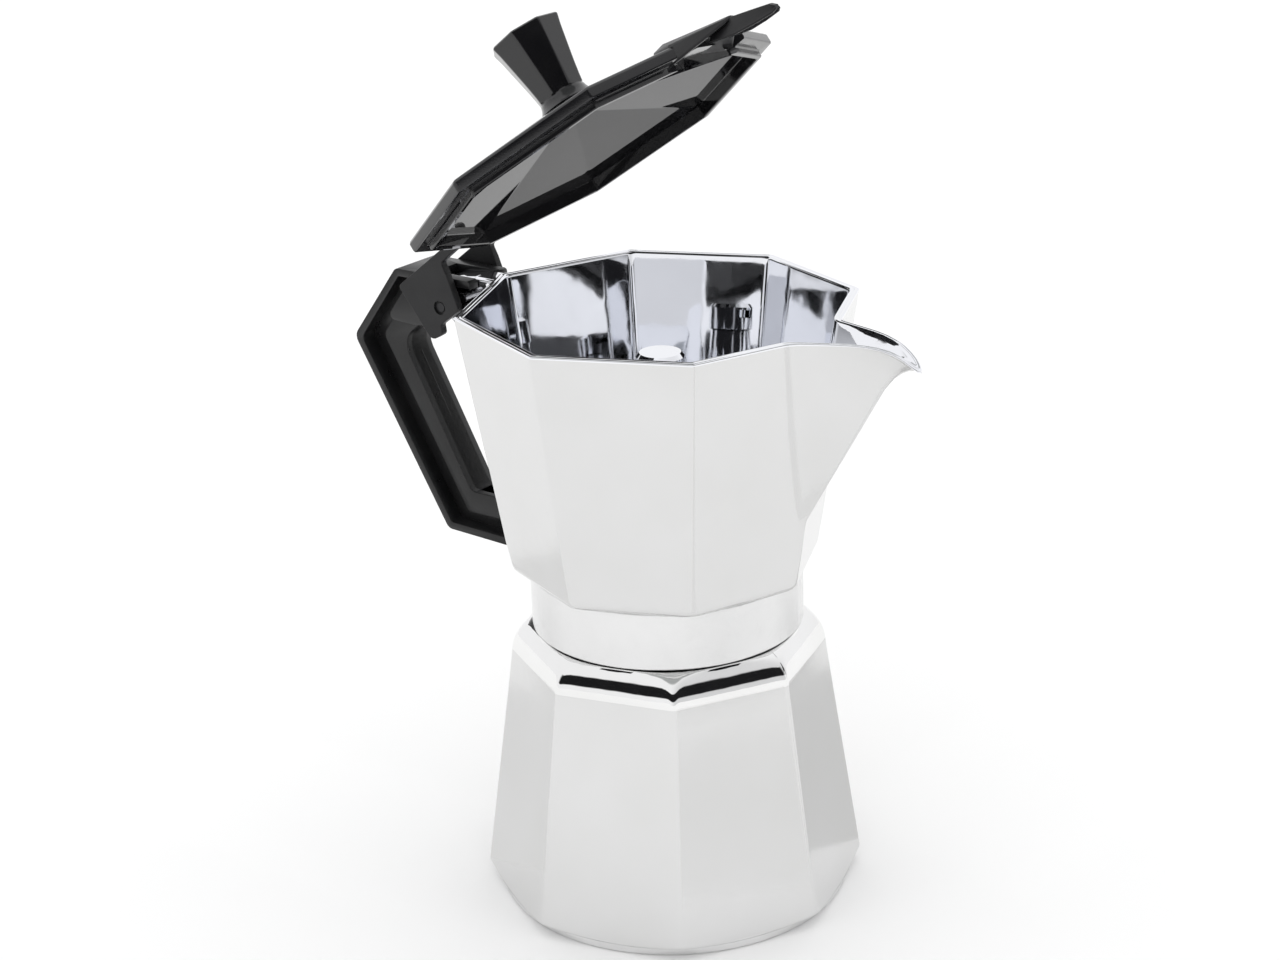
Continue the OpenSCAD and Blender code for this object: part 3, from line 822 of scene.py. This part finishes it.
def handle_outlines():
    """Side views of the handle, in X and Z with corner radii: rib, web recess, grip beam and fork block."""
    reach = HANDLE_LOW.x
    foot = [(pot_x(99) - 0.35, 99, 0), (pot_x(103.6) - 0.35, 103.6, 0)]
    gap = [(-64.8, 103.6, 3), (-87.4, 145.4, 6), (-79.4, 151.6, 4), (-72.6, 152.4, 2), (-65, 157, 2),
           (ARM_X, 158.2, 0)]
    rib = [(ARM_X, ARM_TOP, 1), (-85.6, ARM_TOP, 2), (reach - 0.6, 145, 3), (-71.6, 91.8, 2.5),
           (-44.2, 91, 0)]
    recess = [(ARM_X, ARM_TOP - RIB, 0.3), (-84.6, ARM_TOP - RIB, 1), (reach + RIB, 144.8, 2.5),
              (-70.4, 91.8 + RIB, 1.5), (-44, 91.1 + RIB, 0)]
    beam = [(ARM_X, 161, 0.3), (-83.2, 161, 2), (-94.6, 145.8, 3), (-66.2, 96.9, 1.5),
            (pot_x(96.9) - 0.4, 96.9, 0)]
    block = [(ARM_X, 161, 0), (-83.2, 161, 1.5), (-90.2, 152, 1.5), (-79.4, 151.6, 0), (-72.6, 152.4, 2),
             (-65, 157, 2), (ARM_X, 158.2, 0)]
    inner_edge = foot + gap
    return (rounded_outline(points)
            for points in (rib + inner_edge, recess + inner_edge, beam + inner_edge, block))


def make_handle():
    rib, recess, beam, block = handle_outlines()
    body = plate("handle_body", rib, -HANDLE_HALF, HANDLE_HALF)
    for sign in (-1, 1):
        low, high = sorted((sign * WEB_HALF, sign * (HANDLE_HALF + 5)))
        cut(body, plate("recess", recess, low, high))
    grip = bevelled(plate("grip_beam", beam, -GRIP_HALF, GRIP_HALF), 1.5, 4, 50)
    fork = plate("fork_block", block, -HANDLE_HALF + 0.1, HANDLE_HALF - 0.1)
    slot_cut = [(-73.8, 145), (-40, 145), (-40, 180), (-73.8, 180)]
    rivet = cad_box("handle_rivet")
    rivet_x = (rivet[0].x + rivet[1].x) / 2
    rivet_z = (rivet[0].z + rivet[1].z) / 2
    for part in (body, grip, fork):
        cut(part, plate("fork_slot", slot_cut, -SLOT_HALF, SLOT_HALF),
            cross_rod("hole", HINGE.x, HINGE.z, -20, 20, PIN_HOLE_R),
            cross_rod("hole", rivet_x, rivet_z, -20, 20, RIVET_HOLE_R))
    bevelled(body, 0.55, 3, 35)
    bevelled(fork, 0.8, 3, 35)
    parts = [body, grip, fork, make_parting_line()]
    for part in parts:
        smooth_by_angle(part, 35)
        paint(part, HANDLE_BLACK)
    piece = join("handle_grip", parts)
    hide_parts("handle")
    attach(piece, "collector")


def make_parting_line():
    """Fine raised line down the middle of the grip's inside, left by the mould."""
    top = Vector((-85.2, 0, 141.2))
    low = Vector((-67.0, 0, 107.0))
    return rod("parting_line", top, low, 0.22, 8)


make_handle()

# ---------------------------------------------------------------- lid

# the lid closed: its band from LID_Z to BAND_TOP, then the dome up to the flat under the knob
LID_Z = RIM_Z + 0.3
BAND_TOP = LID_Z + 3.4
DOME_Z = 181.6
DOME_SLOPE = (DOME_Z - 0.4 - BAND_TOP) / 44
LIP_R = 50.4
# the hollow underneath rises from EAVE_Z at its edge to ROOF_Z in the middle
EAVE_Z = 170.4
ROOF_Z = 179.2
ROOF_SLOPE = (ROOF_Z - 0.1 - EAVE_Z) / 44.7
HOLLOW_R = 48.7
WEDGE_THICK = 0.8
TAB_THICK = 0.5
MOUTH_HALF = 14.5
LIP_GAP_HALF = 11.6
EAR_IN = 9.1
EAR_OUT = 11.4
EAR_BORE_R = 1.45
RECESS_DEPTH = 0.7
LID_PLASTICS = (LID_BLACK, EAR_BLACK, UNDERSIDE_BLACK)


def gable_section(x, half, eave, ridge, bulge, thick):
    """Cross-section of a roof-shaped cover, with a shallow hollow underneath."""
    outer = [Vector((x, half, eave)), Vector((x, half, eave + 0.45)), Vector((x, half - 0.25, eave + 0.75))]
    top = Vector((x, 0.9, ridge - 0.12))
    for share, lift in ((0.3, 0.85), (0.36, 1), (0.68, 0.5)):
        outer.append(outer[2].lerp(top, share) + Vector((0, 0, bulge * lift)))
    outer += [top, Vector((x, 0.4, ridge)), Vector((x, 0, ridge))]
    outer += [Vector((p.x, -p.y, p.z)) for p in reversed(outer[:-1])]
    inner = [Vector((x, thick - half, eave)), Vector((x, 0, max(eave, ridge - 1.8 * thick))),
             Vector((x, half - thick, eave))]
    return outer + inner


def make_cover():
    """Two-step roof over the spout: a wide wedge, then a narrow tab that hangs into the channel."""
    wedge_rows = [(35.9, 6.6, 173.0, 177.0, 0.6), (36.6, 8.6, 172.6, 177.4, 1.0),
                  (38.5, 10.8, 171.2, 176.9, 1.5), (44, 13.8, 168.3, 175.5, 2.7),
                  (51, 7.9, 169.5, 173.7, 1.4), (57.2, 2.6, 170.5, 172.2, 0.2),
                  (58, 2.0, 170.8, 172.0, 0.1)]
    tab_rows = [(52, 4.3, 168.6, 172.4, 0), (55.5, 4.2, 167.5, 171.9, 0), (59, 3.9, 166.5, 171.3, 0),
                (65, 2.7, 165.6, 169.4, 0), (70.2, 1.5, 165.1, 167.7, 0), (71.35, 0.9, 165.5, 166.6, 0)]
    wedge = loft("cover_wedge", [gable_section(*row, WEDGE_THICK) for row in wedge_rows], "cap", "cap")
    tab = loft("cover_tab", [gable_section(*row, TAB_THICK) for row in tab_rows], "cap", "cap")
    return [smooth_by_angle(wedge, 38), smooth_by_angle(tab, 38)]


def make_ears():
    """The two hinge ears, each bored for the pin with a shallow recess round the pin's end."""
    outline = rounded_outline([
        (-47, LID_Z + 0.5, 0), (-57.8, LID_Z + 0.2, 1), (ARM_X, 165.4, 0.5), (-61.4, 155.2, 1.5),
        (-70, 155.4, 1), (-71.2, 153, 1.2), (-76, 153.6, 2), (-76.4, BAND_TOP - 0.2, 1.2),
        (-47, BAND_TOP - 0.2, 0),
    ])
    ears = []
    for sign in (-1, 1):
        low, high = sorted((sign * EAR_IN, sign * EAR_OUT))
        ear = bevelled(plate("hinge_ear", outline, low, high), 0.35, 2)
        face = sign * EAR_OUT
        recess = cross_rod("recess", HINGE.x, HINGE.z, face - RECESS_DEPTH, face + RECESS_DEPTH, 2.0)
        bore = cross_rod("bore", HINGE.x, HINGE.z, face - 8, face + 8, EAR_BORE_R)
        cut(ear, recess, bore)
        ears.append(smooth_by_angle(ear, 40))
    return ears


def lid_underside(x, y):
    """Height between the lid's hollow and its dome."""
    return ROOF_Z + 1.2 - 8.6 * math.hypot(x, y) / 48


def make_lid_shell():
    """Band, dome and the hollow underneath, with the mouth over the spout cut out of the band."""
    angles = octagon_angles(0)
    rows = [
        (3.0, 3.0, DOME_Z), (7.2, 6.6, DOME_Z), (7.9, 5.0, DOME_Z - 0.12), (9.0, 1.6, DOME_Z - 0.3),
        (30, 0.8, DOME_Z - 0.3 - 21 * DOME_SLOPE), (53.0, 0.8, BAND_TOP + 0.1), (53.5, 0.9, BAND_TOP - 0.02),
        (54.1, 1.0, BAND_TOP - 0.35), (LID_R, 1.1, BAND_TOP - 0.9), (LID_R, 1.1, LID_Z + 0.5),
        (54.3, 1.1, LID_Z + 0.1), (54.0, 1.1, LID_Z), (50.9, 1.0, LID_Z), (LIP_R, 1.0, LID_Z - 0.3),
        (LIP_R, 1.0, LID_Z - 1.5), (LIP_R - 0.25, 1.0, LID_Z - 1.75), (48.9, 1.0, LID_Z - 1.75),
        (48.6, 1.0, LID_Z - 1.5), (48.5, 1.0, EAVE_Z - 0.3), (48.1, 0.9, EAVE_Z),
        (26, 0.8, EAVE_Z + 22.1 * ROOF_SLOPE), (3.4, 0.3, ROOF_Z - 0.1), (0.5, 0.1, ROOF_Z + 0.46),
    ]
    shell = loft("lid_shell", [octagon_ring(angles, 0, *row) for row in rows], "fan", "fan")
    mouth = plate("spout_mouth", [(44.5, 160), (60, 160), (60, 172.95), (44.5, 172.95)],
                  -MOUTH_HALF, MOUTH_HALF)
    lip_gap = plate("lip_gap", [(40, 160), (60, 160), (60, LID_Z - 0.02), (40, LID_Z - 0.02)],
                    -LIP_GAP_HALF, LIP_GAP_HALF)
    cut(shell, mouth, lip_gap)
    smooth_by_angle(shell, 32)
    weighted(shell)
    paint(shell, *LID_PLASTICS)
    paint_zone(shell, 2, lambda x, y, z: z < lid_underside(x, y) and math.hypot(x, y) < HOLLOW_R)
    return shell


def make_lid():
    shell = make_lid_shell()
    rough_parts = make_cover() + make_ears()
    for part in rough_parts:
        paint(part, *LID_PLASTICS)
        paint_all(part, 1)
    piece = opened(join("lid_cover", [shell, *rough_parts]))
    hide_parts("lid")
    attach(piece, "lid")


make_lid()

# ---------------------------------------------------------------- knob

KNOB_TURN = 22.5
KNOB_COLLAR = 3.3
KNOB_H = 22.6


def make_knob():
    angles = octagon_angles(KNOB_TURN)
    collar = DOME_Z + KNOB_COLLAR
    top = DOME_Z + KNOB_H
    rows = [
        (2.0, 2.0, DOME_Z + 0.02), (7.8, 7.8, DOME_Z + 0.02), (8.1, 8.1, DOME_Z + 0.2),
        (7.8, 7.8, DOME_Z + 0.6), (7.2, 7.2, DOME_Z + 1.4), (6.8, 6.8, DOME_Z + 2.3),
        (6.6, 6.6, collar - 0.3), (6.4, 6.4, collar - 0.08), (6.4, 6.0, collar + 0.06),
        (6.75, 1.6, collar + 0.3), (7.0, 1.2, collar + 2.0), (7.6, 1.2, collar + 5.5),
        (8.5, 1.2, collar + 10), (9.7, 1.2, top - 3.4), (10.35, 1.2, top - 1.0), (10.4, 1.2, top - 0.55),
        (10.1, 1.2, top - 0.2), (9.6, 1.2, top), (4, 1.2, top),
    ]
    knob = loft("knob_grip", [octagon_ring(angles, KNOB_TURN, *row) for row in rows], "fan", "fan")
    weighted(smooth_by_angle(knob, 40))
    paint(knob, KNOB_BLACK)
    opened(knob)
    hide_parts("knob")
    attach(knob, "lid")


make_knob()

# ---------------------------------------------------------------- carried-over CAD nodes

# pieces that keep the CAD's own meshes and get only a material
CAD_MATERIALS = {
    "funnel_basket": SHEET, "funnel_stem": SHEET, "funnel_strainer": SHEET, "filter_plate": SHEET,
    "valve_body": BRASS, "valve_seat": BRASS, "valve_washer": RED_WASHER, "valve_spring": STEEL,
    "valve_piston": STEEL, "gasket": GASKET, "column": MIRROR, "column_cap": MIRROR, "handle_rivet": STEEL,
    "hinge_pin": DARK_STEEL, "knob_insert": BRASS, "knob_stud": STEEL, "knob_washer": STEEL,
}
for node_name, material in CAD_MATERIALS.items():
    paint(frame["nodes"][node_name], material)

# ---------------------------------------------------------------- stage, light and camera

# metres
FLOOR_SIDE = 6.0


def flat_sheet(name, length, width):
    """Level rectangle about the origin, in metres."""
    half_l = length / 2
    half_w = width / 2
    corners = [(-half_l, -half_w, 0), (half_l, -half_w, 0), (half_l, half_w, 0), (-half_l, half_w, 0)]
    mesh = bpy.data.meshes.new(name)
    mesh.from_pydata(corners, [], [(0, 1, 2, 3)])
    obj = bpy.data.objects.new(name, mesh)
    bpy.context.scene.collection.objects.link(obj)
    return obj


def make_floor():
    floor = flat_sheet("floor", FLOOR_SIDE, FLOOR_SIDE)
    m = Nodes("pale_floor")
    m.ramp(m.noise(3, 2), (0.93, 0.93, 0.93), (0.95, 0.95, 0.95), "Base Color")
    m.shader.inputs["Roughness"].default_value = 0.9
    m.shader.inputs["Specular IOR Level"].default_value = 0.1
    paint(floor, m.material)


def glowing_card(name, length, width, tone):
    """Flat card of one even tone, seen only in reflections."""
    obj = flat_sheet(name, length, width)
    m = bpy.data.materials.new(name)
    m.use_nodes = True
    tree = m.node_tree
    tree.nodes.clear()
    light = tree.nodes.new("ShaderNodeEmission")
    light.inputs["Color"].default_value = (tone, tone, tone, 1)
    out = tree.nodes.new("ShaderNodeOutputMaterial")
    tree.links.new(light.outputs[0], out.inputs["Surface"])
    paint(obj, m)
    obj.visible_camera = False
    obj.visible_diffuse = False
    obj.visible_shadow = False
    return obj


# gray paper on the table, seen only in reflections, in metres: (x, y, length, width, turn, tone)
FLAG_Z = 0.001
FLAGS = ((-0.125, -0.033, 0.15, 0.07, 0, 0.88), (0.062, 0.118, 0.15, 0.08, 84, 0.74),
         (0.20, -0.048, 0.22, 0.08, -6, 0.95))


def make_flags():
    for i, (x, y, length, width, turn, tone) in enumerate(FLAGS):
        flag = glowing_card(f"flag_{i}", length, width, tone)
        spin = Matrix.Rotation(math.radians(turn), 4, "Z")
        flag.matrix_world = Matrix.Translation((x, y, FLAG_Z)) @ spin


# the dark strip in reflections: its elevations and the azimuth of its middle, in degrees.
# STRIP_BLUR softens its upper and lower edge and STRIP_SIDES its ends, in parts of a unit direction
DARK_FROM = 8
DARK_TO = 31
STRIP_BLUR = 0.02
STRIP_SIDES = (0.05, 0.35)
FRONT_AZIMUTH = 306
WHITE_WALLS = (0.99, 0.99, 1.0)
RIGHT_TONE = (0.74, 0.74, 0.75)
OVERHEAD_TONE = (0.42, 0.43, 0.43)
STRIP_TONE = (0.012, 0.012, 0.013)
STUDIO_LIGHT = 1.14


class World:
    """Short way to wire the world's shader."""

    def __init__(self, name):
        world = bpy.data.worlds.new(name)
        bpy.context.scene.world = world
        world.use_nodes = True
        self.tree = world.node_tree
        self.tree.nodes.clear()

    def add(self, kind, **values):
        node = self.tree.nodes.new(kind)
        for key, value in values.items():
            setattr(node, key, value)
        return node

    def link(self, a, b):
        self.tree.links.new(a, b)

    def step(self, value, low, high):
        """0 where the value is at low, 1 where it is at high, with a soft change between."""
        node = self.add("ShaderNodeMapRange", interpolation_type="SMOOTHSTEP")
        node.inputs["From Min"].default_value = low
        node.inputs["From Max"].default_value = high
        self.link(value, node.inputs["Value"])
        return node.outputs["Result"]

    def times(self, a, b):
        node = self.add("ShaderNodeMath", operation="MULTIPLY")
        self.link(a, node.inputs[0])
        self.link(b, node.inputs[1])
        return node.outputs[0]

    def shade(self, colour, other, mask):
        """Replaces a colour, given as numbers or a socket, by another where the mask is 1."""
        node = self.add("ShaderNodeMix", data_type="RGBA")
        if isinstance(colour, tuple):
            node.inputs["A"].default_value = (*colour, 1)
        else:
            self.link(colour, node.inputs["A"])
        node.inputs["B"].default_value = (*other, 1)
        self.link(mask, node.inputs["Factor"])
        return node.outputs["Result"]


def dark_strip(w, direction, height):
    """Mask of the dark strip, for a direction and its height: the sine of its elevation."""
    front = w.add("ShaderNodeVectorMath", operation="DOT_PRODUCT")
    azimuth = math.radians(FRONT_AZIMUTH)
    front.inputs[1].default_value = (math.cos(azimuth), math.sin(azimuth), 0)
    w.link(direction, front.inputs[0])
    low = math.sin(math.radians(DARK_FROM))
    high = math.sin(math.radians(DARK_TO))
    above = w.step(height, low - STRIP_BLUR, low + STRIP_BLUR)
    below = w.step(height, high + STRIP_BLUR, high - STRIP_BLUR)
    return w.times(w.times(above, below), w.step(front.outputs["Value"], *STRIP_SIDES))


def make_world():
    """White studio. In reflections a dark strip of room stands behind the camera, just over the horizon."""
    w = World("studio")
    direction = w.add("ShaderNodeTexCoord").outputs["Generated"]
    split = w.add("ShaderNodeSeparateXYZ")
    w.link(direction, split.inputs[0])
    height = split.outputs["Z"]
    strip = dark_strip(w, direction, height)
    tone = w.shade(WHITE_WALLS, RIGHT_TONE, w.step(split.outputs["X"], 0.2, 0.95))
    tone = w.shade(tone, OVERHEAD_TONE, w.step(height, 0.86, 0.93))
    tone = w.shade(tone, STRIP_TONE, strip)
    seen = w.add("ShaderNodeBackground")
    seen.inputs["Color"].default_value = (1, 1, 1, 1)
    seen.inputs["Strength"].default_value = STUDIO_LIGHT
    glossy = w.add("ShaderNodeBackground")
    w.link(tone, glossy.inputs["Color"])
    path = w.add("ShaderNodeLightPath")
    both = w.add("ShaderNodeMixShader")
    w.link(path.outputs["Is Glossy Ray"], both.inputs["Fac"])
    w.link(seen.outputs[0], both.inputs[1])
    w.link(glossy.outputs[0], both.inputs[2])
    out = w.add("ShaderNodeOutputWorld")
    w.link(both.outputs[0], out.inputs["Surface"])


# yaw, pitch and roll in degrees, place in millimetres, lens for a sensor 36 mm wide
CAMERA_ANGLES = (37.236, 20.776, -1.932)
CAMERA_AT = (372.66, -501.0, 355.40)
CAMERA_LENS = 69.507


def make_camera():
    """The photograph's view: a long lens, a little above the rim, looking between spout and handle."""
    yaw, pitch, roll = (math.radians(a) for a in CAMERA_ANGLES)
    forward = Vector((-math.sin(yaw) * math.cos(pitch), math.cos(yaw) * math.cos(pitch), -math.sin(pitch)))
    right = Vector((math.cos(yaw), math.sin(yaw), 0))
    up = right.cross(forward)
    right, up = (
        math.cos(roll) * right + math.sin(roll) * up,
        -math.sin(roll) * right + math.cos(roll) * up,
    )
    data = bpy.data.cameras.new("camera")
    data.sensor_width = 36
    data.lens = CAMERA_LENS
    data.clip_start = 0.01
    data.clip_end = 20
    camera = bpy.data.objects.new("camera", data)
    axes = Matrix((right, up, -forward)).transposed().to_4x4()
    camera.matrix_world = Matrix.Translation(Vector(CAMERA_AT) * MM) @ axes
    bpy.context.scene.collection.objects.link(camera)
    bpy.context.scene.camera = camera


make_floor()
make_flags()
make_world()
make_camera()
bpy.context.scene.view_settings.view_transform = "Standard"
bpy.context.scene.view_settings.look = "None"
